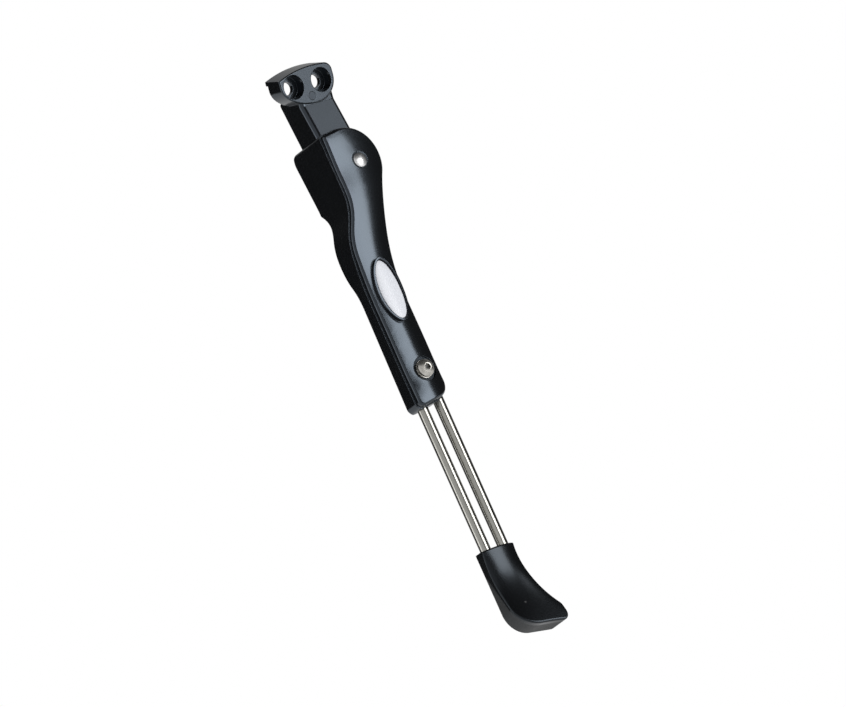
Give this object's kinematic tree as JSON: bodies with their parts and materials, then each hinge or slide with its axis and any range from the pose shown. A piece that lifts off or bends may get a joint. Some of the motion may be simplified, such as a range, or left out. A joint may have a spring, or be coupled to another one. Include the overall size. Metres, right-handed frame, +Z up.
{
  "type": "bicycle kickstand",
  "caption": "Bolt-on bicycle side stand with a hooked mounting head, a domed folding leg housing with spring detent, clamped sliding steel rods and a flared rubber foot.",
  "frame": {"origin": "midway between the two bolt holes, on the flat face that lies against the bicycle frame", "axes": "+X along the bolt row towards the rear of the bicycle, +Y inboard into the bicycle frame, +Z up; the leg is shown down and leans out by fifteen degrees"},
  "size_m": [0.0387, 0.1011, 0.3125],
  "materials": {
    "black_casting": "satin black powder coat on a light-alloy die casting",
    "bronze_bush": "plain sintered bearing metal",
    "bright_steel": "bright zinc-plated steel",
    "nylon": "natural moulded bearing plastic",
    "spring_steel": "drawn spring wire",
    "white_badge": "gloss white domed resin, bare",
    "stainless": "turned stainless steel",
    "rod_steel": "drawn and brushed stainless rod",
    "black_rubber": "moulded satin black rubber, a little greyer on the sole"
  },
  "bodies": {
    "bracket": {"mounting_bracket": "black_casting", "pivot_bush": "bronze_bush"},
    "leg": {"leg_housing": "black_casting", "pivot_pin": "bright_steel", "pivot_washer": "bright_steel", "thrust_washer_front": "nylon", "thrust_washer_back": "nylon", "detent_plunger": "bright_steel", "detent_spring": "spring_steel", "badge_insert": "white_badge", "clamp_screw": "stainless", "clamp_lock_washer": "stainless", "clamp_washer": "stainless", "clamp_block": "bright_steel"},
    "extension": {"leg_rod_left": "rod_steel", "leg_rod_right": "rod_steel", "foot": "black_rubber"}
  },
  "joints": [
    {"name": "leg_fold", "type": "hinge", "parent": "bracket", "child": "leg", "pos_m": [0.0066, -0.0136, -0.0489], "axis": [0, -0.9659, 0.2588], "range_deg": [0, 95]},
    {"name": "leg_length", "type": "slide", "parent": "leg", "child": "extension", "axis": [0, -0.2588, -0.9659], "range_m": [-0.03, 0.02]}
  ]
}
